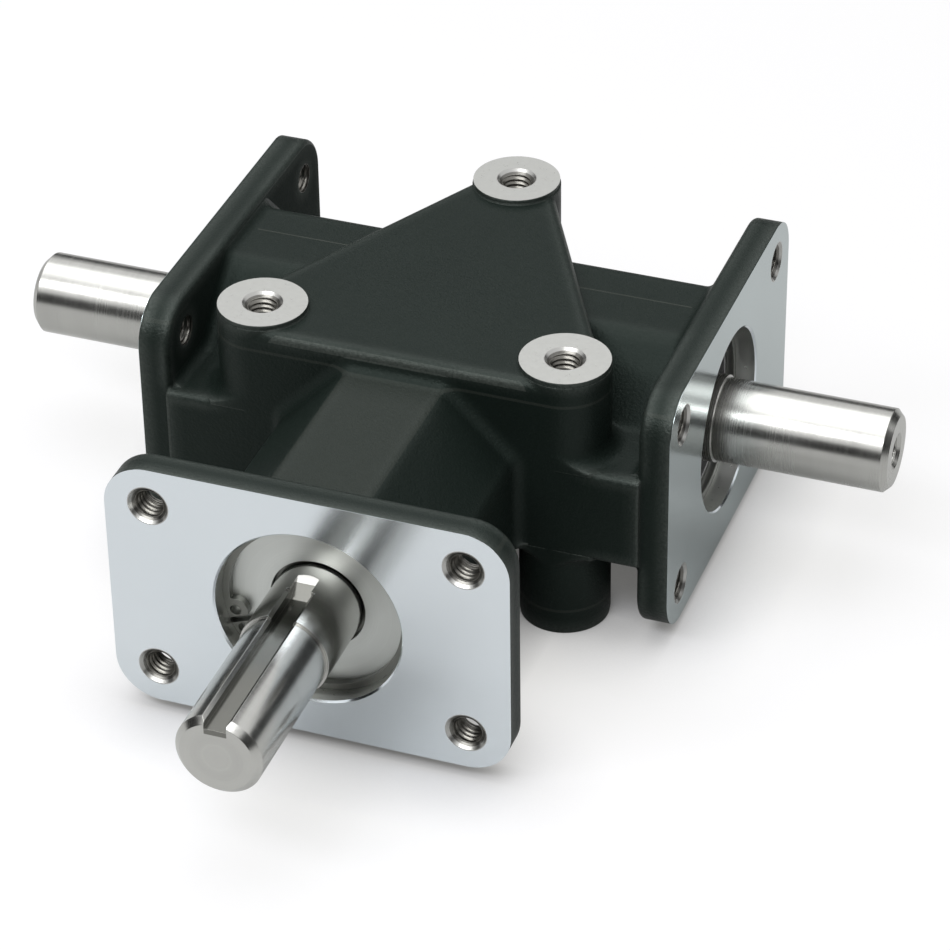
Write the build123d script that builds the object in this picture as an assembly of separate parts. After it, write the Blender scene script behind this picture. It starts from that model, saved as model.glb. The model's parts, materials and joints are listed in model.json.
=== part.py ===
from build123d import *
import math
import os

# Three way right angle gearbox, millimetres. The origin is where the shaft axes cross:
# the cross shaft lies along X, the front shaft points to -Y and the mounting columns stand along Z.

# Clearances, and how far a cutter reaches past the face it opens
seat_gap = 0.02
face_tol = 0.01
cut_over = 1.0
drill_tip_angle = 118.0
groove_gap = 0.05
ball_gap = 0.05

# Shafts
shaft_d = 19.0
journal_step = 0.5
shaft_chamfer = 1.4
cross_right_reach = 38.5
cross_left_reach = 44.5
cross_step_inset = 1.5
front_reach = 48.5
front_step_reach = 13.0
centre_tap_d = 6.8
centre_tap_mouth_d = 8.4
centre_tap_depth = 22.0
key_width = 4.8
key_depth = 2.7
key_edge_break = 1.0
key_ramp_foot = 2.8
key_ramp_head = 2.2

# Bearings, deep groove type with a rubber seal on each side
bearing_od = 42.0
bearing_width = 12.0
ball_d = 6.35
ball_count = 9
land_gap = 5.4
cage_thickness = 2.2
cage_web = 0.8
pocket_gap = 0.15
seal_thickness = 0.9
seal_inset = 0.3
seal_lip_gap = 0.15

# Retaining rings
bore_groove_depth = 1.25
bore_ring_t = 1.75
bore_ring_width = 2.8
bore_ring_lug_r = 2.9
bore_ring_lug_inset = 2.1
bore_ring_hole_d = 2.5
bore_ring_gap = 1.4
bore_ring_hole_spacing = 4.6
shaft_groove_depth = 0.5
shaft_ring_t = 1.2
shaft_ring_width = 2.6
shaft_ring_gap = 2.4
shaft_ring_lug_r = 1.9
shaft_ring_hole_d = 1.6
shaft_ring_hole_spacing = 6.4

front_ring_gap_angle = -158.0
right_ring_gap_angle = 215.0
left_ring_gap_angle = 160.0
shaft_ring_gap_angle = 30.0

# Mitre gears
gear_teeth = 19
gear_bore_gap = 0.6
gear_face = 8.0
gear_pressure_angle = 20.0
gear_dedendum_share = 1.25
gear_backlash = 0.16
gear_hub_wall = 5.0
gear_hub_length = 15.0
gear_pin_d = 5.0
gear_pin_wall = 0.9
gear_pin_slot = 0.9
gear_pin_from_back = 5.5
gear_pin_end_inset = 0.5

cross_gap_angle = -90.0

# Spacer sleeves
sleeve_wall = 1.8
spacer_wall = 2.5

# Bearing stack along each shaft, measured from the flange face inwards
cross_ring_depth = 4.8
front_ring_depth = 4.2
cover_wall = 1.0
cover_length = 3.2
cover_gap = 0.7
cover_rim_wall = 1.6
spacer_length = 4.0
shoulder_step = 3.0
shoulder_width = 4.0

# Housing casting
cross_face = 61.5
front_face = 100.0
flange_w = 90.0
flange_h = 60.0
flange_t = 7.2
flange_corner_r = 10.0
flange_back_r = 1.4
flange_hole_w = 70.0
flange_hole_h = 42.0
tap_d = 6.8
tap_mouth_d = 9.0
bore_mouth_chamfer = 0.4
barrel_flats = 54.0
barrel_edge_r = 4.0
neck_edge_r = 3.5
rib_h = 23.0
rib_edge_r = 1.6
rib_root_r = 4.0
column_d = 20.4
column_pad_d = 20.0
column_pad_h = 1.2
column_spacing = 70.0
column_front_y = -36.0
column_rear_y = 32.0
column_h = 66.0
column_tap_depth = 20.0
web_drop = 1.3
web_side = 8.0
web_edge_r = 2.2
neck_root_r = 3.0
flange_root_r = 2.5
column_root_r = 3.5

# Worked out from the values above
bearing_r = bearing_od / 2
bore_r = bearing_r + seat_gap
shaft_r = shaft_d / 2
journal_r = shaft_r + journal_step
ball_pitch_r = (bearing_r + journal_r) / 2
groove_r = bearing_r + bore_groove_depth
shaft_groove_r = journal_r - shaft_groove_depth
lug_reach = bearing_r - bore_ring_lug_inset
wall_y = column_front_y - column_d / 2
web_top = column_h / 2 - web_drop
cross_right_end = cross_face + cross_right_reach
cross_left_end = cross_face + cross_left_reach
front_end = front_face + front_reach
flange_back = cross_face - flange_t
cross_bearing_far = cross_face - cross_ring_depth - bore_ring_t - 2 * groove_gap
cross_bearing_near = cross_bearing_far - bearing_width
front_bearing_far = front_face - front_ring_depth - bore_ring_t - 2 * groove_gap - cover_length
front_bearing_near = front_bearing_far - bearing_width
pitch_r = (bore_r - gear_bore_gap) / (1 + math.sqrt(2) / gear_teeth)
gear_module = 2 * pitch_r / gear_teeth
gear_back = pitch_r + gear_hub_length
gear_hub_r = journal_r + gear_hub_wall
neck_bearing_near = gear_back + spacer_length
neck_bearing_far = neck_bearing_near + bearing_width
cone_reach = pitch_r * math.sqrt(2)
small_share = (cone_reach - gear_face) / cone_reach
dedendum = gear_module * gear_dedendum_share
gear_front = small_share * (pitch_r + dedendum / math.sqrt(2))
tooth_angle = 360 / gear_teeth

# Frames whose local +Z runs outwards along each shaft
right_side = Rotation(0, 90, 0)
left_side = Rotation(0, -90, 0)
front_side = Rotation(90, 0, 0)


def tube(outer_r, inner_r, start, end):
    """Plain tube about the local Z axis."""
    ring = Circle(outer_r) - Circle(inner_r)
    return Pos(0, 0, start) * extrude(ring, end - start)


def rod(radius, start, end):
    """Plain cylinder about the local Z axis."""
    return Pos(0, 0, start) * extrude(Circle(radius), end - start)


def turned(points):
    """Body turned about Z from a closed outline of (radius, height) points."""
    outline = Polyline(*[(r, 0, z) for r, z in points], close=True)
    return revolve(make_face(outline), Axis.Z)


def tapped_hole(core_d, mouth_d, depth):
    """Cutter for a countersunk tapped hole that goes down from z = 0."""
    core_r = core_d / 2
    mouth_r = mouth_d / 2
    sink = mouth_r - core_r
    drill_tip = core_r / math.tan(math.radians(drill_tip_angle / 2))
    return turned([
        (0, sink), (mouth_r + sink, sink), (core_r, -sink), (core_r, -depth),
        (0, -depth - drill_tip),
    ])


def on_grid(width, height):
    """Centres of the four corners of a rectangle."""
    return [(x * width / 2, y * height / 2) for x in (-1, 1) for y in (-1, 1)]


def gear_gap():
    """Cutter for one tooth gap of the mitre gear, centred on the local +X side."""
    virtual_r = cone_reach
    base_r = virtual_r * math.cos(math.radians(gear_pressure_angle))
    root_r = virtual_r - dedendum
    outer_r = virtual_r + gear_module + cut_over
    virtual_teeth = gear_teeth * math.sqrt(2)
    backlash_angle = gear_backlash / 2 / virtual_r

    def involute(angle):
        return math.tan(angle) - angle

    def half_gap(radius):
        pressure = math.acos(min(1.0, base_r / radius))
        half_tooth = math.pi / (2 * virtual_teeth) - backlash_angle
        half_tooth += involute(math.radians(gear_pressure_angle)) - involute(pressure)
        return math.pi / virtual_teeth - half_tooth

    def place(radius, angle, share):
        rise = radius * math.cos(angle) - virtual_r
        across = radius * math.sin(angle)
        return (
            share * (pitch_r + rise / math.sqrt(2)),
            share * across,
            share * (pitch_r - rise / math.sqrt(2)),
        )

    def profile(share):
        middle_r = (base_r + outer_r) / 2
        flanks = []
        for side in (-1, 1):
            path = [place(r, side * half_gap(r), share) for r in (base_r, middle_r, outer_r)]
            foot = place(root_r, side * half_gap(base_r), share)
            flanks.append((foot, path))
        (left_foot, left), (right_foot, right) = flanks
        edges = [
            Edge.make_line(right_foot, left_foot),
            Edge.make_line(left_foot, left[0]),
            Edge.make_three_point_arc(*left),
            Edge.make_line(left[2], right[2]),
            Edge.make_three_point_arc(*reversed(right)),
            Edge.make_line(right[0], right_foot),
        ]
        return Face(Wire(edges))

    over = cut_over / gear_face
    return Solid.make_loft([profile(1 + over).outer_wire(), profile(small_share - over).outer_wire()], True)


def mitre_gear(first_gap):
    """Straight bevel gear about Z with its apex at the origin and a tooth gap at angle first_gap."""
    tip = gear_module / math.sqrt(2)
    root = dedendum / math.sqrt(2)
    hub_r = gear_hub_r
    hub_start = pitch_r + root + (pitch_r - root - hub_r)
    blank = turned([
        (journal_r + seat_gap, gear_front),
        (small_share * (pitch_r - root), gear_front),
        (small_share * (pitch_r + tip), small_share * (pitch_r - tip)),
        (pitch_r + tip, pitch_r - tip),
        (hub_r, hub_start),
        (hub_r, gear_back),
        (journal_r + seat_gap, gear_back),
    ])
    gap = gear_gap()
    gaps = [Rotation(0, 0, first_gap + k * tooth_angle) * gap for k in range(gear_teeth)]
    pin_bore = Pos(0, 0, gear_back - gear_pin_from_back) * Rotation(0, 90, 0) * rod(
        gear_pin_d / 2 + seat_gap, -hub_r - cut_over, hub_r + cut_over)
    return blank - gaps - pin_bore


def bearing_pieces(near, far):
    """The six parts of one sealed ball bearing between two heights on the local Z axis."""
    middle = (near + far) / 2
    pitch = ball_pitch_r
    race = Pos(0, 0, middle) * Torus(pitch, ball_d / 2 + ball_gap)
    inner_land = pitch - land_gap / 2
    outer_land = pitch + land_gap / 2
    cage_half = ball_d / 2 + cage_web
    ball = Pos(pitch, 0, middle) * Sphere(ball_d / 2)
    pocket = Pos(0, 0, middle) * Rotation(0, 90, 0) * rod(ball_d / 2 + pocket_gap, 0, bearing_r)
    steps = [Rotation(0, 0, k * 360 / ball_count) for k in range(ball_count)]
    cage = tube(pitch + cage_thickness / 2, pitch - cage_thickness / 2,
                middle - cage_half, middle + cage_half)
    seal_r = outer_land - seat_gap
    lip_r = inner_land + seal_lip_gap
    return {
        "outer_ring": tube(bearing_r, outer_land, near, far) - race,
        "inner_ring": tube(inner_land, journal_r + seat_gap, near, far) - race,
        "balls": Compound([(step * ball).solid() for step in steps]),
        "cage": cage - [step * pocket for step in steps],
        "outer_seal": tube(seal_r, lip_r, far - seal_inset - seal_thickness, far - seal_inset),
        "inner_seal": tube(seal_r, lip_r, near + seal_inset, near + seal_inset + seal_thickness),
    }


def bore_ring(groove_start, gap_angle):
    """Internal retaining ring in its bore groove, with its gap turned to gap_angle."""
    outer = Circle(groove_r - groove_gap)
    hole_angle = math.asin(bore_ring_hole_spacing / 2 / lug_reach)
    ring = outer - Circle(groove_r - groove_gap - bore_ring_width)
    for side in (-1, 1):
        place = Rotation(0, 0, side * math.degrees(hole_angle)) * Pos(lug_reach, 0, 0)
        ring += place * Circle(bore_ring_lug_r)
    ring = ring & outer
    for side in (-1, 1):
        place = Rotation(0, 0, side * math.degrees(hole_angle)) * Pos(lug_reach, 0, 0)
        ring -= place * Circle(bore_ring_hole_d / 2)
    ring -= Pos(groove_r, 0, 0) * Rectangle(groove_r, bore_ring_gap)
    return Pos(0, 0, groove_start + groove_gap) * Rotation(0, 0, gap_angle) * extrude(ring, bore_ring_t)


def shaft_ring(groove_start, gap_angle):
    """External retaining ring in its shaft groove, with its gap turned to gap_angle."""
    inner_r = shaft_groove_r + groove_gap
    reach = inner_r + shaft_ring_width
    hole_angle = math.asin(shaft_ring_hole_spacing / 2 / reach)
    ring = Circle(reach) - Circle(inner_r)
    for side in (-1, 1):
        place = Rotation(0, 0, side * math.degrees(hole_angle)) * Pos(reach, 0, 0)
        ring += place * Circle(shaft_ring_lug_r)
        ring -= place * Circle(shaft_ring_hole_d / 2)
    ring -= Circle(inner_r)
    ring -= Pos(reach, 0, 0) * Rectangle(reach, shaft_ring_gap)
    return Pos(0, 0, groove_start + groove_gap) * Rotation(0, 0, gap_angle) * extrude(ring, shaft_ring_t)


def ring_groove(start, thickness, outer_r, inner_r):
    """Cutter for a retaining ring groove between two radii."""
    return tube(outer_r, inner_r, start, start + thickness + 2 * groove_gap)


def gear_pin():
    """Slotted spring pin through a gear hub and its shaft, along the local X axis."""
    reach = gear_hub_r - gear_pin_end_inset
    roll = Circle(gear_pin_d / 2) - Circle(gear_pin_d / 2 - gear_pin_wall)
    roll -= Pos(0, gear_pin_d / 2, 0) * Rectangle(gear_pin_slot, gear_pin_d)
    pin = Pos(0, 0, -reach) * extrude(roll, 2 * reach)
    return Pos(0, 0, gear_back - gear_pin_from_back) * Rotation(0, 90, 0) * pin


def shaft_body(start, end, step):
    """Shaft from start to end with its journal up to step and a chamfer at the outer end."""
    return turned([
        (0, start), (journal_r, start), (journal_r, step), (shaft_r, step),
        (shaft_r, end - shaft_chamfer), (shaft_r - shaft_chamfer, end), (0, end),
    ])


def pin_hole():
    """Cutter for the spring pin's hole through a shaft."""
    return Pos(0, 0, gear_back - gear_pin_from_back) * Rotation(0, 90, 0) * rod(
        gear_pin_d / 2 + seat_gap, -shaft_d, shaft_d)


def build_cross_shaft():
    """Shaft through the left and the right flange, tapped at both ends."""
    step = cross_face - cross_step_inset
    shaft = right_side * shaft_body(0, cross_right_end, step)
    shaft += left_side * shaft_body(0, cross_left_end, step)
    tap = tapped_hole(centre_tap_d, centre_tap_mouth_d, centre_tap_depth)
    shaft -= right_side * Pos(0, 0, cross_right_end) * tap
    shaft -= left_side * Pos(0, 0, cross_left_end) * tap
    return shaft - right_side * pin_hole()


def keyway_cutter():
    """Open-ended keyway on the local +Y side, with a ramp at its inner end."""
    floor = shaft_r - key_depth
    half = key_width / 2
    ramp_foot = front_face + key_ramp_foot
    ramp_head = front_face - key_ramp_head
    rise = (journal_r - floor) / (ramp_foot - ramp_head)
    top = journal_r + cut_over * rise
    side_view = Polygon(
        (floor, front_end + cut_over), (floor, ramp_foot), (top, ramp_head - cut_over),
        (top, front_end + cut_over), align=None)
    keyway = Pos(-half, 0, 0) * extrude(Plane.YZ * side_view, key_width)
    step = front_face + front_step_reach
    for radius, start, end in ((journal_r, ramp_foot, step), (shaft_r, step, front_end)):
        edge_y = math.sqrt(radius ** 2 - half ** 2) - key_edge_break
        flare = Polygon(
            (-half, edge_y), (half, edge_y), (2 * half, edge_y + half), (-2 * half, edge_y + half),
            align=None)
        keyway += Pos(0, 0, start) * extrude(flare, end - start)
    return keyway


def build_front_shaft():
    """Keyed shaft through the front flange."""
    shaft = shaft_body(gear_front, front_end, front_face + front_step_reach)
    shaft -= keyway_cutter()
    shaft -= ring_groove(front_bearing_far, shaft_ring_t, journal_r + cut_over, shaft_groove_r)
    return front_side * (shaft - pin_hole())


def flange(face):
    """Rectangular flange plate whose outer face is at the given height."""
    plate = extrude(RectangleRounded(flange_w, flange_h, flange_corner_r), flange_t)
    rim = plate.faces().sort_by(Axis.Z)[0].outer_wire().edges()
    return Pos(0, 0, face - flange_t) * fillet(rim, flange_back_r)


def octagon(edge_r):
    """Regular octagon of the barrel's width with rounded corners."""
    outline = RegularPolygon(barrel_flats / 2, 8, major_radius=False, rotation=180 / 8)
    return fillet(outline.vertices(), edge_r)


def cross_section():
    """Outline of the barrel with its front rib, as seen along the cross shaft."""
    flat = barrel_flats / 2
    half_side = flat * math.tan(math.radians(180 / 8))
    half_rib = rib_h / 2
    rib_y = -(flat + half_side - half_rib)
    outline = Polygon(
        (wall_y, -half_rib), (rib_y, -half_rib), (-half_side, -flat), (half_side, -flat),
        (flat, -half_side), (flat, half_side), (half_side, flat), (-half_side, flat),
        (rib_y, half_rib), (wall_y, half_rib), align=None)
    groups = ((wall_y, rib_edge_r), (rib_y, rib_root_r), (-half_side, barrel_edge_r),
              (half_side, barrel_edge_r), (flat, barrel_edge_r))
    for x, radius in groups:
        corners = [v for v in outline.vertices() if abs(v.X - x) < face_tol]
        outline = fillet(corners, radius)
    return outline


def rounded_root(outline, radius, footprint):
    """Rounded root of a bar that stands on z = 0, as far as it lies over the footprint."""
    wide = 4 * barrel_flats
    plate = Pos(0, 0, -cut_over) * extrude(Rectangle(wide, wide), cut_over)
    flared = plate + extrude(outline, 2 * radius)
    middles = [(edge, edge.position_at(0.5)) for edge in flared.edges()]
    root = [
        edge for edge, middle in middles
        if abs(middle.Z) < face_tol and max(abs(middle.X), abs(middle.Y)) < barrel_flats
    ]
    return fillet(root, radius) & extrude(footprint, radius)


def barrel_half():
    """Half of the barrel and its rib along +X, let into the flange and rounded where they meet."""
    outline = cross_section()
    bar = extrude(outline, flange_back + flange_back_r / 2)
    flat_w = flange_w - 2 * flange_back_r
    flat_h = flange_h - 2 * flange_back_r
    root = rounded_root(outline, flange_root_r, Rectangle(flat_w, flat_h))
    return Plane.YZ * (bar + Pos(0, 0, flange_back) * mirror(root, Plane.XY))


def neck():
    """Eight-sided neck out to the front flange, with a rounded root on the front wall."""
    outline = octagon(neck_edge_r)
    bar = extrude(outline, front_face - flange_t / 2)
    wide = 2 * barrel_flats
    above_rib = Pos(0, -rib_h / 2) * Rectangle(wide, wide, align=(Align.CENTER, Align.MIN))
    root = rounded_root(outline, neck_root_r, above_rib)
    return front_side * (bar + Pos(0, 0, -wall_y) * root)


def web_block():
    """Triangular web between the columns, with its rounded top edge."""
    dx = column_spacing / 2
    dy = column_rear_y - column_front_y
    side = math.hypot(dx, dy)
    nx = web_side * dy / side
    ny = web_side * dx / side
    outline = Polygon(
        (-dx, wall_y), (dx, wall_y), (dx + nx, column_front_y + ny), (nx, column_rear_y + ny),
        (-nx, column_rear_y + ny), (-dx - nx, column_front_y + ny), align=None)
    block = extrude(outline, web_top)
    return fillet(block.faces().sort_by(Axis.Z)[-1].outer_wire().edges(), web_edge_r)


def column_places():
    """Centres of the three mounting columns."""
    half = column_spacing / 2
    return [(-half, column_front_y), (half, column_front_y), (0, column_rear_y)]


def column():
    """Full-height mounting column with a machined pad at each end."""
    half_h = column_h / 2
    pad_r = column_pad_d / 2
    cast_r = column_d / 2
    shoulder = half_h - column_pad_h
    return turned([
        (0, -half_h), (pad_r, -half_h), (pad_r, -shoulder), (cast_r, -shoulder),
        (cast_r, shoulder), (pad_r, shoulder), (pad_r, half_h), (0, half_h),
    ])


def column_root():
    """Rounded root of a column where it leaves the rib, above z = 0."""
    reach = column_d / 2 + column_root_r
    collar = tube(reach, column_d / 2 - cut_over, -cut_over, column_root_r)
    return collar - Pos(0, 0, column_root_r) * Torus(reach, column_root_r)


def column_roots():
    """Roots of the two front columns above and below the rib, cut off flush with the front wall."""
    roots = []
    before = Pos(0, wall_y, 0) * Box(
        flange_w, flange_w, column_h, align=(Align.CENTER, Align.MAX, Align.CENTER))
    for x, y in column_places()[:2]:
        for turn in (0, 180):
            roots.append(Pos(x, y, 0) * Rotation(turn, 0, 0) * Pos(0, 0, rib_h / 2) * column_root() - before)
    return roots


def shaft_bore(face, depth_end, ring_depth):
    """Cutter for a bearing bore from a flange face down to depth_end, with its ring groove."""
    mouth = turned([
        (0, face + cut_over), (bore_r + bore_mouth_chamfer + cut_over, face + cut_over),
        (bore_r, face - bore_mouth_chamfer),
        (bore_r, depth_end), (0, depth_end),
    ])
    start = face - ring_depth - bore_ring_t - 2 * groove_gap
    return mouth + ring_groove(start, bore_ring_t, groove_r, bore_r - cut_over)


def flange_holes(face):
    """Cutters for the four tapped holes through a flange."""
    tap = tapped_hole(tap_d, tap_mouth_d, flange_t + cut_over)
    return [Pos(x, y, face) * tap for x, y in on_grid(flange_hole_w, flange_hole_h)]


def build_housing():
    """One-piece casting with its flanges, barrel, neck, web and columns, bored and tapped."""
    half = barrel_half()
    body = half + mirror(half, Plane.YZ)
    body += web_block()
    body += neck()
    for x, y in column_places():
        body += Pos(x, y, 0) * column()
    body += column_roots()
    for side in (right_side, left_side):
        body += side * Rotation(0, 0, 90) * flange(cross_face)
    body += front_side * flange(front_face)
    body -= right_side * shaft_bore(cross_face, -cross_bearing_near + shoulder_width, cross_ring_depth)
    body -= left_side * shaft_bore(cross_face, cross_bearing_near, cross_ring_depth)
    body -= left_side * rod(bearing_r - shoulder_step, 0, cross_bearing_near + cut_over)
    body -= front_side * shaft_bore(front_face, 0, front_ring_depth)
    for side, near in ((right_side, cross_bearing_near), (front_side, front_bearing_near)):
        start = inner_ring_groove_start(near)
        body -= side * ring_groove(start, bore_ring_t, groove_r, bore_r - cut_over)
    for side in (right_side, left_side):
        body -= [side * Rotation(0, 0, 90) * hole for hole in flange_holes(cross_face)]
    body -= [front_side * hole for hole in flange_holes(front_face)]
    tap = tapped_hole(tap_d, tap_mouth_d, column_tap_depth)
    for x, y in column_places():
        for turn in (0, 180):
            body -= Pos(x, y, 0) * Rotation(turn, 0, 0) * Pos(0, 0, column_h / 2) * tap
    return body


def build_front_cover():
    """Cap in front of the front bearing, with a hole round the shaft."""
    outer_r = bearing_r
    inner_r = outer_r - cover_rim_wall
    hole_r = journal_r + cover_gap
    end = front_bearing_far + cover_length
    return front_side * turned([
        (inner_r, front_bearing_far), (outer_r, front_bearing_far), (outer_r, end),
        (hole_r, end), (hole_r, end - cover_wall), (inner_r, end - cover_wall),
    ])


def sleeve(wall, start, end):
    """Spacer sleeve that slides on a journal."""
    return tube(journal_r + wall, journal_r + seat_gap, start, end)


def inner_ring_groove_start(near):
    """Height where the groove behind a bearing starts."""
    return near - bore_ring_t - 2 * groove_gap


def build_pieces():
    """Every piece by its node name."""
    cross_groove = cross_face - cross_ring_depth - bore_ring_t - 2 * groove_gap
    front_groove = front_face - front_ring_depth - bore_ring_t - 2 * groove_gap
    pieces = {
        "housing": build_housing(),
        "cross_shaft": build_cross_shaft(),
        "front_shaft": build_front_shaft(),
        "cross_gear": right_side * mitre_gear(cross_gap_angle),
        "front_gear": front_side * mitre_gear(cross_gap_angle + 90 + tooth_angle / 2),
        "cross_gear_pin": right_side * gear_pin(),
        "front_gear_pin": front_side * gear_pin(),
        "cross_long_sleeve": right_side * sleeve(sleeve_wall, -cross_bearing_near, gear_front),
        "cross_short_sleeve": right_side * sleeve(spacer_wall, gear_back, cross_bearing_near),
        "front_short_sleeve": front_side * sleeve(spacer_wall, gear_back, neck_bearing_near),
        "front_long_sleeve": front_side * sleeve(spacer_wall, neck_bearing_far, front_bearing_near),
        "front_cover": build_front_cover(),
        "left_retaining_ring": left_side * bore_ring(cross_groove, left_ring_gap_angle),
        "right_retaining_ring": right_side * bore_ring(cross_groove, right_ring_gap_angle),
        "right_inner_retaining_ring": right_side * bore_ring(
            inner_ring_groove_start(cross_bearing_near), right_ring_gap_angle),
        "front_retaining_ring": front_side * bore_ring(front_groove, front_ring_gap_angle),
        "front_inner_retaining_ring": front_side * bore_ring(
            inner_ring_groove_start(front_bearing_near), front_ring_gap_angle),
        "front_shaft_retaining_ring": front_side * shaft_ring(front_bearing_far, shaft_ring_gap_angle),
    }
    bearings = {
        "left": (left_side, cross_bearing_near),
        "right": (right_side, cross_bearing_near),
        "front": (front_side, front_bearing_near),
        "neck": (front_side, neck_bearing_near),
    }
    for place, (side, near) in bearings.items():
        for name, piece in bearing_pieces(near, near + bearing_width).items():
            pieces[f"{place}_bearing_{name}"] = side * piece
    return pieces


os.makedirs("parts", exist_ok=True)
for name, piece in build_pieces().items():
    export_step(piece, f"parts/{name}.step")
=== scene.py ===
import json
import math
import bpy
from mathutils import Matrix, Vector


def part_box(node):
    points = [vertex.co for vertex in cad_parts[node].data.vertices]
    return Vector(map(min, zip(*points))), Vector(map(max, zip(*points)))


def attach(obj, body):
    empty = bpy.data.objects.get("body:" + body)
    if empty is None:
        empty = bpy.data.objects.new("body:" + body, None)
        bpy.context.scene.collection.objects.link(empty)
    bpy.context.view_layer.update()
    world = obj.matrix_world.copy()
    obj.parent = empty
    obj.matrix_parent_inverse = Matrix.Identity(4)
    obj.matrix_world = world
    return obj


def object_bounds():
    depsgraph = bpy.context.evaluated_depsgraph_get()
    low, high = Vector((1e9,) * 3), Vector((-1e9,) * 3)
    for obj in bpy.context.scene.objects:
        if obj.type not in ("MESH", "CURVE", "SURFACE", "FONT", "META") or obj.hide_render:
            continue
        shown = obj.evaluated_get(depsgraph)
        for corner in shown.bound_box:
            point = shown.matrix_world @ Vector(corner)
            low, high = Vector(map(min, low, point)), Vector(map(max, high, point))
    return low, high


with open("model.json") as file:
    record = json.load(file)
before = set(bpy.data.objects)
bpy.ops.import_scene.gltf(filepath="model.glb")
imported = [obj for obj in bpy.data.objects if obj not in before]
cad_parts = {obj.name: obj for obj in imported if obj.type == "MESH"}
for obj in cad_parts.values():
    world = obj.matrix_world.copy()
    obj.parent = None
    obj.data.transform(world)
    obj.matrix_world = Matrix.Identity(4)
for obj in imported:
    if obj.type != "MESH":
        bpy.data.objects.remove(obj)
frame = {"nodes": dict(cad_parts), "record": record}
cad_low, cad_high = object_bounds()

from types import SimpleNamespace

import bmesh
import bpy
from mathutils import Matrix, Vector

# Three way right angle gearbox, in metres. Sizes come from the frame where it has them.
MM = 0.001
mounts = {mount["name"]: mount for mount in frame["record"]["mounts"]}
housing_low, housing_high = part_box("housing")
side_face = housing_high.x
front_face = -housing_low.y
pad_height = housing_high.z

# Machined surfaces of the casting
face_edge = 0.05 * MM
bore_reach = 22.6 * MM
bore_chamfer = 0.4 * MM
neck_bore_end = 5 * MM
flange_thickness = 7.2 * MM

# Tapped holes: their cores, their chamfered mouths and how deep they go
tap_r = mounts["front_flange_holes"]["dims"]["hole_r_mm"] * MM
mouth_r = 4.7 * MM
mouth_depth = 1.2 * MM
thread_r = 4.0 * MM
thread_start = 0.55 * MM
column_hole_depth = 20 * MM
column_mask_depth = 26 * MM
shaft_hole_depth = 22 * MM

# Threads, M8 coarse
thread_pitch = 1.25 * MM
thread_height = 0.45 * MM
thread_skin = 0.03 * MM
thread_top = 0.9 * MM
thread_around = 40
thread_rows = 8
ridge_flat = 1.25
ridge_slope = 2.75

# Places on the black paint with a painted highlight, and the raised seam: the heights and distances that
# bound them
barrel_top = (26.6 * MM, 27.3 * MM)
# Heights of the painted highlight along the web's rounded front rim
web_rim_highlight = (29.7 * MM, 31.3 * MM)
neck_start = 33 * MM
column_reach = 11.5 * MM
flange_margin = 10 * MM
seam_place = 1.2 * MM
seam_half_width = 0.20 * MM
seam_margin = 2.5 * MM

# Fine relief and softened edges
# Reach of the painted highlight along the outer edges of the black paint
edge_highlight_reach = 4 * MM
cast_edge = 1.2 * MM
cast_relief = 0.28 * MM
tool_relief = 0.01 * MM
turned_edge = 0.15 * MM
satin_edge = 0.2 * MM
satin_relief = 0.015 * MM
rubber_relief = 0.02 * MM

# Keyway of the front shaft
keyway_half_width = 2.45 * MM
keyway_start = 98 * MM
keyway_heights = (5.5 * MM, 8.9 * MM)

# Studio
floor_reach = 6.0
floor_shadow_reach = 22 * MM
floor_glow = 0.63
surroundings_level = 0.32
screen_steps = 24
white = (1.0, 1.0, 1.0, 1.0)

# Camera
camera_eye = Vector((265.8, -712.3, 498.9)) * MM
camera_yaw = 20.42
camera_pitch = 34.77
camera_roll = -0.84
camera_focal_pixels = 3986.5
frame_pixels = 950
sensor_width = 36.0


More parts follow.
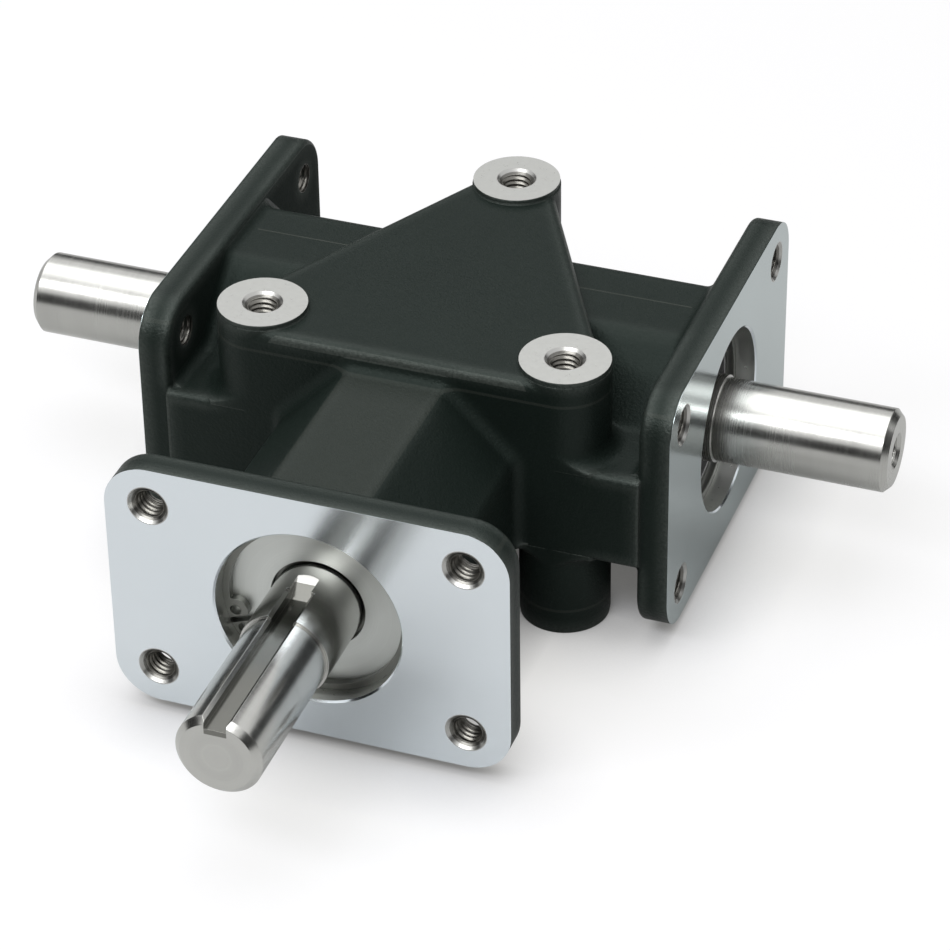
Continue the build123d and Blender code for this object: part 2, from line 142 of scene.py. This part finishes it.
class Graph:
    """One material and the nodes that make it."""

    def __init__(self, name):
        self.material = bpy.data.materials.new(name)
        self.material.use_nodes = True
        self.tree = self.material.node_tree
        self.tree.nodes.clear()
        self.output = self.node("ShaderNodeOutputMaterial")
        self.shader = self.node("ShaderNodeBsdfPrincipled")
        self.link(self.shader.outputs["BSDF"], self.output.inputs["Surface"])
        self.place = self.node("ShaderNodeTexCoord").outputs["Object"]
        split = self.node("ShaderNodeSeparateXYZ")
        self.link(self.place, split.inputs[0])
        self.x, self.y, self.z = split.outputs

    def node(self, kind):
        return self.tree.nodes.new(kind)

    def link(self, source, target):
        self.tree.links.new(source, target)

    def feed(self, value, target):
        """Sets a socket to a number or colour, or links another socket to it."""
        if isinstance(value, bpy.types.NodeSocket):
            self.link(value, target)
        else:
            target.default_value = value

    def calc(self, operation, *values):
        node = self.node("ShaderNodeMath")
        node.operation = operation
        for value, target in zip(values, node.inputs):
            self.feed(value, target)
        return node.outputs[0]

    def above(self, value, limit):
        return self.calc("GREATER_THAN", value, limit)

    def below(self, value, limit):
        return self.calc("LESS_THAN", value, limit)

    def within(self, value, limits):
        return self.both(self.above(value, limits[0]), self.below(value, limits[1]))

    def both(self, first, second):
        return self.calc("MULTIPLY", first, second)

    def either(self, *masks):
        found = masks[0]
        for mask in masks[1:]:
            found = self.calc("MAXIMUM", found, mask)
        return found

    def size(self, value):
        return self.calc("ABSOLUTE", value)

    def radius(self, first, second):
        """Distance from an axis, from the two coordinates across it."""
        squares = [self.calc("MULTIPLY", value, value) for value in (first, second)]
        return self.calc("SQRT", self.calc("ADD", *squares))

    def vector(self, *values):
        node = self.node("ShaderNodeCombineXYZ")
        for value, target in zip(values, node.inputs):
            self.feed(value, target)
        return node.outputs[0]

    def stretched(self, sx, sy, sz):
        node = self.node("ShaderNodeVectorMath")
        node.operation = "MULTIPLY"
        self.link(self.place, node.inputs[0])
        node.inputs[1].default_value = (sx, sy, sz)
        return node.outputs[0]

    def noise(self, vector, scale, detail=3.0, roughness=0.5):
        node = self.node("ShaderNodeTexNoise")
        self.link(vector, node.inputs["Vector"])
        node.inputs["Scale"].default_value = scale
        node.inputs["Detail"].default_value = detail
        node.inputs["Roughness"].default_value = roughness
        return node.outputs["Fac"]

    def between(self, factor, low, high):
        """A number that runs from low to high as factor runs from 0.3 to 0.7."""
        node = self.node("ShaderNodeMapRange")
        self.feed(factor, node.inputs["Value"])
        node.inputs["From Min"].default_value = 0.3
        node.inputs["From Max"].default_value = 0.7
        self.feed(low, node.inputs["To Min"])
        self.feed(high, node.inputs["To Max"])
        return node.outputs["Result"]

    def mix(self, factor, first, second):
        node = self.node("ShaderNodeMix")
        self.feed(factor, node.inputs[0])
        self.feed(first, node.inputs[2])
        self.feed(second, node.inputs[3])
        return node.outputs[0]

    def tint(self, factor, first, second):
        node = self.node("ShaderNodeMix")
        node.data_type = "RGBA"
        self.feed(factor, node.inputs[0])
        self.feed(first, node.inputs[6])
        self.feed(second, node.inputs[7])
        return node.outputs[2]

    def bump(self, height, strength, distance, normal=None):
        node = self.node("ShaderNodeBump")
        self.feed(height, node.inputs["Height"])
        self.feed(strength, node.inputs["Strength"])
        node.inputs["Distance"].default_value = distance
        if normal is not None:
            self.link(normal, node.inputs["Normal"])
        return node.outputs["Normal"]

    def soft_edge(self, radius):
        node = self.node("ShaderNodeBevel")
        node.samples = 6
        self.feed(radius, node.inputs["Radius"])
        return node.outputs["Normal"]

    def convex_edges(self, reach):
        """1 on outer edges and fading inwards within reach of them."""
        node = self.node("ShaderNodeAmbientOcclusion")
        node.inside = True
        node.samples = 8
        node.inputs["Distance"].default_value = reach
        return self.calc("SUBTRACT", 1.0, node.outputs["AO"])

    def finish(self, **values):
        """Feeds the shader's sockets, named in lower case with underscores."""
        sockets = {socket.name.lower().replace(" ", "_"): socket for socket in self.shader.inputs}
        for name, value in values.items():
            self.feed(value, sockets[name])
        return self.material


def shade(colour, factor):
    """A colour made lighter or darker."""
    return (colour[0] * factor, colour[1] * factor, colour[2] * factor, 1.0)


def hole_mask(graph, across, centre, depth, span):
    """Masks of tapped holes at plus and minus centre: the whole holes, and their threads alone.

    span gives where the holes end and where their mouths start, both along depth.
    """
    offsets = [
        graph.calc("SUBTRACT", graph.size(value) if middle else value, middle)
        for value, middle in zip(across, centre)
    ]
    reach = graph.radius(*offsets)
    hole_end, mouth_start = span
    deep = graph.both(graph.below(reach, tap_r + face_edge), graph.above(depth, hole_end))
    mouth = graph.both(graph.below(reach, mouth_r), graph.above(depth, mouth_start))
    hole = graph.either(deep, mouth)
    threaded = graph.both(
        graph.below(reach, thread_r), graph.below(depth, mouth_start + mouth_depth - thread_start))
    return hole, graph.both(hole, threaded)


def spacing_of(name):
    """Half the spacings of a bolt pattern along its first and second row axes."""
    dims = mounts[name]["dims"]
    return [dims.get(key, 0) / 2 * MM for key in ("spacing_x_mm", "spacing_y_mm")]


def casting_places(graph):
    """Distances on the casting that its masks are made from."""
    column_x, column_y = mounts["top_right_hole"]["pos_m"][:2]
    rear_y = mounts["top_rear_hole"]["pos_m"][1]
    return SimpleNamespace(
        side=graph.size(graph.x),
        height=graph.size(graph.z),
        front=graph.calc("MULTIPLY", graph.y, -1.0),
        column_x=column_x,
        past_front_columns=graph.calc("SUBTRACT", graph.y, column_y),
        past_rear_column=graph.calc("SUBTRACT", graph.y, rear_y))


def tapped_masks(graph, at):
    """Masks of all tapped holes of the casting, and of their threads alone."""
    side_span = (side_face - flange_thickness - face_edge, side_face - mouth_depth)
    front_span = (front_face - flange_thickness - face_edge, front_face - mouth_depth)
    column_span = (pad_height - column_mask_depth, pad_height - mouth_depth)
    side_centre, front_centre = spacing_of("right_flange_holes"), spacing_of("front_flange_holes")
    taps = [
        hole_mask(graph, (graph.y, graph.z), side_centre, at.side, side_span),
        hole_mask(graph, (graph.x, graph.z), front_centre, at.front, front_span),
        hole_mask(graph, (graph.x, at.past_front_columns), (at.column_x, 0), at.height, column_span),
        hole_mask(graph, (graph.x, at.past_rear_column), (0, 0), at.height, column_span),
    ]
    holes = graph.either(*[hole for hole, threads in taps])
    return holes, graph.either(*[threads for hole, threads in taps])


def machined_masks(graph, at):
    """Masks of the casting's bare metal."""
    holes, threads = tapped_masks(graph, at)
    side_plate = graph.above(at.side, side_face - face_edge)
    front_plate = graph.above(at.front, front_face - face_edge)
    pads = graph.above(at.height, pad_height - face_edge)
    cross_bore = graph.below(graph.radius(graph.y, graph.z), bore_reach)
    neck_bore = graph.both(
        graph.below(graph.radius(graph.x, graph.z), bore_reach), graph.below(graph.y, neck_bore_end))
    bore_walls = graph.either(
        graph.both(cross_bore, graph.below(at.side, side_face - bore_chamfer)),
        graph.both(neck_bore, graph.below(at.front, front_face - bore_chamfer)))
    bare = graph.either(side_plate, front_plate, pads, cross_bore, neck_bore, holes)
    return SimpleNamespace(
        bare=bare, side_plate=side_plate, pads=pads, bore_walls=bore_walls, holes=holes, threads=threads)


def paint_masks(graph, at):
    """Masks of the seam, of painted highlights on the black paint and of the flanges' inner faces."""
    on_top = graph.within(at.height, barrel_top)
    inner = side_face - flange_thickness
    beside_seam = graph.size(graph.calc("SUBTRACT", graph.y, seam_place))
    seam = graph.both(
        graph.below(beside_seam, seam_half_width),
        graph.both(on_top, graph.below(at.side, inner - seam_margin)))
    off_flanges = graph.both(
        graph.below(at.side, side_face - flange_margin), graph.below(at.front, front_face - flange_margin))
    from_columns = graph.radius(graph.calc("SUBTRACT", at.side, at.column_x), at.past_front_columns)
    from_rear_column = graph.radius(graph.x, at.past_rear_column)
    off_columns = graph.both(
        graph.above(from_columns, column_reach), graph.above(from_rear_column, column_reach))
    return SimpleNamespace(
        seam=seam,
        neck_top=graph.both(on_top, graph.above(at.front, neck_start)),
        web_rim_highlight=graph.both(graph.within(at.height, web_rim_highlight), graph.both(off_flanges, off_columns)),
        inner_face=graph.within(at.side, (inner - face_edge, inner + face_edge)))


def casting_paint(graph, marks, grain, edge_highlight):
    """Colour and roughness of the black paint, lighter on outer edges, seam, web rim and neck top: painted
    highlights.
    """
    blotch = graph.noise(graph.place, 45.0, 4.0, 0.6)
    colour = graph.tint(blotch, (0.0070, 0.0115, 0.0095, 1.0), (0.0110, 0.0165, 0.0140, 1.0))
    lighter = (
        # Painted highlight on outer edges
        (edge_highlight, (0.042, 0.050, 0.045, 1.0)),
        # Seam: a real raised line in the relief, and a painted highlight in its lighter colour
        (graph.both(marks.seam, blotch), (0.085, 0.092, 0.080, 1.0)),
        # Painted highlight on the neck's top facet
        (marks.neck_top, (0.024, 0.029, 0.025, 1.0)),
        # Painted highlight along the web's front rim
        (graph.both(marks.web_rim_highlight, graph.between(grain, 0.4, 1.0)), (0.055, 0.063, 0.057, 1.0)),
    )
    for mask, tone in lighter:
        colour = graph.tint(mask, colour, tone)
    rough = graph.mix(edge_highlight, graph.between(grain, 0.34, 0.46), 0.30)
    return colour, graph.mix(marks.inner_face, rough, 0.8)


def casting_metal(graph, cut):
    """Colour and roughness of the machined metal, by kind of surface; darker side plates, holes and
    threads are painted shade.
    """
    cloud = graph.noise(graph.place, 28.0, 3.0, 0.5)
    mottle = graph.noise(graph.place, 700.0, 4.0, 0.7)
    colour = graph.tint(cloud, (0.76, 0.82, 0.865, 1.0), (0.83, 0.88, 0.92, 1.0))
    tones = (
        (cut.pads, mottle, (0.48, 0.485, 0.465, 1.0), (0.57, 0.575, 0.555, 1.0)),
        # Side plates painted darker than the front plate: painted shade
        (cut.side_plate, cloud, (0.44, 0.505, 0.515, 1.0), (0.52, 0.59, 0.60, 1.0)),
        (cut.bore_walls, cloud, (0.62, 0.63, 0.61, 1.0), (0.70, 0.71, 0.69, 1.0)),
        # Tapped holes and their threads painted dark: painted shade inside the holes
        (cut.holes, cloud, (0.42, 0.42, 0.405, 1.0), (0.50, 0.50, 0.485, 1.0)),
        (cut.threads, mottle, (0.10, 0.098, 0.090, 1.0), (0.26, 0.255, 0.24, 1.0)),
    )
    for mask, pattern, dark, light in tones:
        colour = graph.tint(mask, colour, graph.tint(pattern, dark, light))
    duller = graph.either(cut.holes, cut.pads, cut.bore_walls)
    rough = graph.mix(duller, graph.between(cloud, 0.13, 0.18), graph.between(mottle, 0.27, 0.31))
    return colour, rough


def casting_material():
    """Satin black paint on the casting, and bare metal where it is machined."""
    graph = Graph("casting")
    at = casting_places(graph)
    cut = machined_masks(graph, at)
    marks = paint_masks(graph, at)
    grain = graph.noise(graph.place, 1500.0, 4.0, 0.65)
    # Outer edges of the paint get a painted highlight: a lighter colour and a specular tint far above
    # white
    edge_highlight = graph.calc("MULTIPLY", graph.convex_edges(edge_highlight_reach), graph.between(grain, 0.6, 1.4))
    edge_highlight.node.use_clamp = True
    paint, paint_rough = casting_paint(graph, marks, grain, edge_highlight)
    metal, metal_rough = casting_metal(graph, cut)
    relief = graph.calc("ADD", graph.both(grain, 0.6), graph.both(marks.seam, 1.4))
    edges = graph.soft_edge(graph.mix(cut.bare, cast_edge, 0.0))
    painted = graph.bump(relief, graph.mix(cut.bare, 0.9, 0.0), cast_relief, edges)
    streaks = graph.noise(graph.stretched(30.0, 30.0, 2600.0), 1.0, 3.0, 0.6)
    ground = graph.bump(streaks, graph.mix(cut.bare, 0.0, 0.02), tool_relief, painted)
    # Specular tint raised far above white on outer edges: painted highlight
    paint_gloss = graph.tint(edge_highlight, (0.84, 1.0, 0.93, 1.0), (6.0, 6.6, 6.2, 1.0))
    return graph.finish(
        base_color=graph.tint(cut.bare, paint, metal), metallic=cut.bare,
        roughness=graph.mix(cut.bare, paint_rough, metal_rough), normal=ground,
        specular_ior_level=0.15, specular_tint=graph.tint(cut.bare, paint_gloss, white))


def keyway_mask(graph):
    """Milled keyway on top of the front shaft."""
    along = graph.below(graph.y, -keyway_start)
    inside = graph.both(graph.below(graph.size(graph.x), keyway_half_width), along)
    return graph.both(inside, graph.within(graph.z, keyway_heights))


def turned_metal(name, colour, axis, rough, mark=0.25, contrast=0.10, keyway=False):
    """Metal with fine marks that run round an axis, on its barrel and on its end faces."""
    graph = Graph(name)
    along, across = {
        "x": (graph.x, (graph.y, graph.z)),
        "y": (graph.y, (graph.x, graph.z)),
    }[axis]
    reach = graph.radius(*across)
    lines = graph.noise(graph.vector(along, reach, 0.0), 2400.0, 4.0, 0.7)
    bands = graph.noise(graph.vector(along, reach, 0.0), 260.0, 2.0, 0.5)
    cloud = graph.noise(graph.place, 55.0, 3.0, 0.55)
    factor = graph.calc("MULTIPLY", graph.calc("ADD", graph.calc("ADD", lines, bands), cloud), 1 / 3)
    tone = graph.tint(
        graph.between(factor, 0.0, 1.0), shade(colour, 1 - contrast), shade(colour, 1 + contrast))
    if keyway:
        # Keyway painted darker than the shaft: painted shade in the slot
        tone = graph.tint(keyway_mask(graph), tone, (0.20, 0.20, 0.185, 1.0))
    roughness = graph.between(graph.calc("MULTIPLY", graph.calc("ADD", lines, cloud), 0.5),
                              rough - 0.07, rough + 0.07)
    normal = graph.bump(lines, mark, tool_relief, graph.soft_edge(turned_edge))
    return graph.finish(base_color=tone, metallic=1.0, roughness=roughness, normal=normal)


def satin_metal(name, colour, rough, mark=0.3, contrast=0.12):
    """Pressed, drawn or tumbled metal with an even fine surface."""
    graph = Graph(name)
    fine = graph.noise(graph.place, 1900.0, 4.0, 0.6)
    cloud = graph.noise(graph.place, 120.0, 4.0, 0.6)
    tone = graph.tint(
        graph.between(cloud, 0.0, 1.0), shade(colour, 1 - contrast), shade(colour, 1 + contrast))
    roughness = graph.between(cloud, rough - 0.06, rough + 0.08)
    normal = graph.bump(fine, mark, satin_relief, graph.soft_edge(satin_edge))
    return graph.finish(base_color=tone, metallic=1.0, roughness=roughness, normal=normal)


def rubber_material():
    """Moulded black rubber."""
    graph = Graph("seal_rubber")
    fine = graph.noise(graph.place, 1600.0, 3.0, 0.6)
    cloud = graph.noise(graph.place, 160.0, 3.0, 0.5)
    tone = graph.tint(cloud, (0.010, 0.010, 0.010, 1.0), (0.028, 0.028, 0.029, 1.0))
    normal = graph.bump(fine, 0.3, rubber_relief)
    roughness = graph.between(fine, 0.48, 0.62)
    return graph.finish(base_color=tone, metallic=0.0, roughness=roughness, normal=normal)


def add_object(name, mesh):
    """Object in the scene, made from a bmesh that isn't needed any more."""
    data = bpy.data.meshes.new(name)
    mesh.to_mesh(data)
    mesh.free()
    made = bpy.data.objects.new(name, data)
    bpy.context.scene.collection.objects.link(made)
    return made


def add_ring(mesh, place, depth, reaches):
    """Ring of vertices at a depth in a hole, one for each distance from its axis."""
    angles = [2 * math.pi * step / len(reaches) for step in range(len(reaches))]
    return [
        mesh.verts.new(place @ Vector((reach * math.cos(angle), reach * math.sin(angle), -depth)))
        for reach, angle in zip(reaches, angles)
    ]


def thread_reach(depth, step, fade):
    """Distance of the thread's surface from its hole's axis."""
    phase = (depth / thread_pitch + step / thread_around) % 1.0
    ridge = min(1.0, max(0.0, ridge_flat - ridge_slope * abs(phase - 0.5)))
    return tap_r - 2 * thread_skin - thread_height * ridge * fade


def add_thread(mesh, place, rows):
    """Closed sleeve with the thread on its inside, which fades out at both ends."""
    depths = [thread_top + row * thread_pitch / thread_rows for row in range(rows + 1)]
    rings = []
    for row, depth in enumerate(depths):
        fade = min(1.0, (row + 1) / thread_rows, (rows - row + 1) / thread_rows)
        reaches = [thread_reach(depth, step, fade) for step in range(thread_around)]
        rings.append(add_ring(mesh, place, depth, reaches))
    outside = [tap_r - thread_skin] * thread_around
    rings.append(add_ring(mesh, place, depths[-1], outside))
    rings.append(add_ring(mesh, place, depths[0], outside))
    rings.append(rings[0])
    for lower, upper in zip(rings, rings[1:]):
        for step in range(thread_around):
            after = (step + 1) % thread_around
            mesh.faces.new((lower[step], lower[after], upper[after], upper[step]))


def thread_piece(name, places, depth, body, material):
    """Threads in equal holes: each place is the mouth's centre and the direction out of the hole."""
    mesh = bmesh.new()
    rows = int(depth / thread_pitch * thread_rows)
    for mouth, outwards in places:
        turn = Vector(outwards).to_track_quat("Z", "X").to_matrix().to_4x4()
        add_thread(mesh, Matrix.Translation(mouth) @ turn, rows)
    bmesh.ops.recalc_face_normals(mesh, faces=mesh.faces)
    piece = add_object(name, mesh)
    for face in piece.data.polygons:
        face.use_smooth = True
    piece.data.materials.append(material)
    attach(piece, body)


def pattern_places(name, face):
    """Mouth centres of a bolt pattern's holes, moved out to the face that they open in."""
    mount = mounts[name]
    axis = Vector(mount["axis"])
    centre = Vector(mount["pos_m"])
    centre += axis * (face - centre.dot(axis))
    units = [Vector((1, 0, 0)), Vector((0, 1, 0)), Vector((0, 0, 1))]
    across = [unit for unit in units if abs(unit.dot(axis)) < 0.5]
    half = spacing_of(name)
    signs = [(-1, 1) if value else (0,) for value in half]
    return [
        (centre + across[0] * half[0] * first + across[1] * half[1] * second, axis)
        for first in signs[0] for second in signs[1]
    ]


def hole_place(name, face):
    """Mouth centre of a single hole."""
    mount = mounts[name]
    axis = Vector(mount["axis"])
    centre = Vector(mount["pos_m"])
    return centre + axis * (face - centre.dot(axis)), axis


def make_threads(shaded_thread_metal, steel):
    """The threads of every tapped hole."""
    flange_depth = flange_thickness - mouth_depth
    column_depth = column_hole_depth - 2 * mouth_depth
    for side, face in (("front", front_face), ("right", side_face), ("left", side_face)):
        thread_piece(f"{side}_flange_threads", pattern_places(f"{side}_flange_holes", face),
                     flange_depth, "housing_body", shaded_thread_metal)
    for side in ("top", "bottom"):
        places = [hole_place(f"{side}_{end}_hole", pad_height) for end in ("left", "right", "rear")]
        thread_piece(f"{side}_column_threads", places, column_depth, "housing_body", shaded_thread_metal)
    shaft_low, shaft_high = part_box("cross_shaft")
    for side, face in (("right", shaft_high.x), ("left", -shaft_low.x)):
        thread_piece(f"{side}_shaft_thread", [hole_place(f"{side}_shaft_end_hole", face)],
                     shaft_hole_depth - 2 * mouth_depth, "cross_shaft_body", steel)


def dress_nodes():
    """Gives every carried-over node its material."""
    # The cross shaft's steel is a little darker than the front shaft's: painted shade that dims its
    # highlight
    steel_x = turned_metal("shaft_steel_cross", (0.50, 0.50, 0.48), "x", 0.25, mark=0.12, contrast=0.10)
    steel_y = turned_metal("shaft_steel_front", (0.53, 0.53, 0.51), "y", 0.20, keyway=True)
    sleeve_x = turned_metal("sleeve_steel_cross", (0.50, 0.50, 0.51), "x", 0.34)
    sleeve_y = turned_metal("sleeve_steel_front", (0.50, 0.50, 0.51), "y", 0.34)
    race_x = turned_metal("bearing_steel_cross", (0.62, 0.62, 0.63), "x", 0.20)
    race_y = turned_metal("bearing_steel_front", (0.62, 0.62, 0.63), "y", 0.20)
    cover = turned_metal("cover_steel", (0.66, 0.68, 0.66), "y", 0.44, mark=0.35)
    gear = satin_metal("gear_steel", (0.30, 0.30, 0.31), 0.36)
    ring = satin_metal("ring_steel", (0.20, 0.205, 0.19), 0.36)
    ball = satin_metal("ball_steel", (0.72, 0.72, 0.73), 0.12, mark=0.05, contrast=0.04)
    cage = satin_metal("cage_steel", (0.52, 0.52, 0.51), 0.34)
    rubber = rubber_material()
    by_slot = {
        "casting": (casting_material(),) * 2,
        "shaft_steel": (steel_x, steel_y),
        "sleeve_steel": (sleeve_x, sleeve_y),
        "bearing_steel": (race_x, race_y),
        "cover_steel": (cover, cover),
        "gear_steel": (gear, gear),
        "ring_steel": (ring, ring),
        "ball_steel": (ball, ball),
        "cage_steel": (cage, cage),
        "seal_rubber": (rubber, rubber),
    }
    for part in frame["record"]["subparts"]:
        node = frame["nodes"][part["node"]]
        on_front = part["node"].startswith(("front", "neck"))
        material = by_slot[part["material_slot"]][1 if on_front else 0]
        node.data.materials.clear()
        node.data.materials.append(material)
    return steel_x


def floor_material():
    """White that lights and mirrors less than the camera sees, with a deeper shadow close to things."""
    graph = Graph("floor_white")
    path = graph.node("ShaderNodeLightPath")
    seen, mirrored = path.outputs["Is Camera Ray"], path.outputs["Is Glossy Ray"]
    cloud = graph.noise(graph.place, 3.0)
    real = graph.tint(mirrored, (0.50, 0.50, 0.495, 1.0), (0.70, 0.70, 0.695, 1.0))
    faint = graph.tint(cloud, (0.375, 0.38, 0.41, 1.0), (0.385, 0.39, 0.42, 1.0))
    graph.finish(base_color=graph.tint(seen, real, faint), roughness=0.9, specular_ior_level=0.1)
    near = graph.node("ShaderNodeAmbientOcclusion")
    near.samples = 12
    near.inputs["Distance"].default_value = floor_shadow_reach
    glow = graph.node("ShaderNodeEmission")
    glow.inputs["Color"].default_value = (1.0, 0.99, 0.955, 1.0)
    open_sky = graph.calc("MULTIPLY", near.outputs["AO"], floor_glow)
    graph.feed(graph.both(seen, open_sky), glow.inputs["Strength"])
    both = graph.node("ShaderNodeAddShader")
    graph.link(graph.shader.outputs["BSDF"], both.inputs[0])
    graph.link(glow.outputs[0], both.inputs[1])
    graph.link(both.outputs[0], graph.output.inputs["Surface"])
    return graph.material


def make_floor():
    """White table under the columns and flanges."""
    mesh = bmesh.new()
    signs = ((-1, -1), (1, -1), (1, 1), (-1, 1))
    mesh.faces.new([mesh.verts.new((floor_reach * x, floor_reach * y, cad_low.z)) for x, y in signs])
    floor = add_object("floor", mesh)
    floor.data.materials.append(floor_material())


def make_world():
    """White surroundings, dimmer where they only light the object."""
    world = bpy.data.worlds.new("studio")
    bpy.context.scene.world = world
    world.use_nodes = True
    tree = world.node_tree
    tree.nodes.clear()
    output = tree.nodes.new("ShaderNodeOutputWorld")
    background = tree.nodes.new("ShaderNodeBackground")
    background.inputs["Color"].default_value = white
    path = tree.nodes.new("ShaderNodeLightPath")
    first = tree.nodes.new("ShaderNodeMath")
    first.operation = "MAXIMUM"
    second = tree.nodes.new("ShaderNodeMath")
    second.operation = "MAXIMUM"
    level = tree.nodes.new("ShaderNodeMapRange")
    level.inputs["To Min"].default_value = surroundings_level
    level.inputs["To Max"].default_value = 1.0
    tree.links.new(path.outputs["Is Camera Ray"], first.inputs[0])
    tree.links.new(path.outputs["Is Glossy Ray"], first.inputs[1])
    tree.links.new(first.outputs[0], second.inputs[0])
    tree.links.new(path.outputs["Is Transmission Ray"], second.inputs[1])
    tree.links.new(second.outputs[0], level.inputs["Value"])
    tree.links.new(level.outputs["Result"], background.inputs["Strength"])
    tree.links.new(background.outputs[0], output.inputs["Surface"])


def make_lamp(name, place, width, depth, watts):
    """Soft lamp that points at the object."""
    data = bpy.data.lights.new(name, "AREA")
    data.shape = "RECTANGLE"
    data.size = width
    data.size_y = depth
    data.energy = watts
    lamp = bpy.data.objects.new(name, data)
    lamp.location = place
    lamp.rotation_euler = (-Vector(place)).to_track_quat("-Z", "Y").to_euler()
    bpy.context.scene.collection.objects.link(lamp)


def make_dark_screen(name, angles, radius, low, high):
    """Dark studio screen round part of the table that only shows in reflections."""
    mesh = bmesh.new()
    rings = []
    for step in range(screen_steps + 1):
        angle = math.radians(angles[0] + (angles[1] - angles[0]) * step / screen_steps)
        x, y = radius * math.cos(angle), radius * math.sin(angle)
        rings.append([mesh.verts.new((x, y, cad_low.z + height)) for height in (low, high)])
    for before, after in zip(rings, rings[1:]):
        mesh.faces.new((before[0], after[0], after[1], before[1]))
    screen = add_object(name, mesh)
    graph = Graph(name)
    tone = graph.tint(graph.noise(graph.place, 4.0), (0.02, 0.02, 0.02, 1.0), (0.03, 0.03, 0.03, 1.0))
    screen.data.materials.append(graph.finish(base_color=tone, roughness=0.9))
    screen.visible_camera = False
    screen.visible_diffuse = False
    screen.visible_shadow = False
    screen.visible_transmission = False


def make_camera():
    """Camera at the photograph's place."""
    yaw, pitch, roll = (math.radians(value) for value in (camera_yaw, camera_pitch, camera_roll))
    forward = Vector((-math.sin(yaw) * math.cos(pitch), math.cos(yaw) * math.cos(pitch), -math.sin(pitch)))
    level_right = Vector((math.cos(yaw), math.sin(yaw), 0.0))
    level_up = level_right.cross(forward)
    right = level_right * math.cos(roll) + level_up * math.sin(roll)
    up = level_up * math.cos(roll) - level_right * math.sin(roll)
    turn = Matrix((right, up, -forward)).transposed().to_4x4()
    data = bpy.data.cameras.new("camera")
    data.sensor_width = sensor_width
    data.lens = camera_focal_pixels / frame_pixels * sensor_width
    data.clip_start = 0.01
    data.clip_end = 50.0
    camera = bpy.data.objects.new("camera", data)
    camera.matrix_world = Matrix.Translation(camera_eye) @ turn
    bpy.context.scene.collection.objects.link(camera)
    bpy.context.scene.camera = camera


make_camera()
make_world()
make_floor()
make_lamp("overhead_softbox", place=(-0.15, 0.25, 1.25), width=1.3, depth=1.3, watts=9.0)
make_lamp("front_strip", place=(-0.14, -0.68, 0.84), width=1.1, depth=0.24, watts=6.0)
make_dark_screen("back_screen", angles=(20.0, 165.0), radius=1.6, low=0.05, high=0.62)
make_dark_screen("front_screen", angles=(165.0, 380.0), radius=1.6, low=0.02, high=0.78)
make_dark_screen("back_right_screen", angles=(68.0, 92.0), radius=1.5, low=0.85, high=1.75)
shaft_steel = dress_nodes()
# Dark thread metal: painted shade inside the tapped holes
shaded_thread_metal = satin_metal("thread_metal", (0.19, 0.185, 0.17), 0.30, mark=0.1, contrast=0.3)
make_threads(shaded_thread_metal, shaft_steel)
bpy.context.scene.view_settings.view_transform = "Standard"
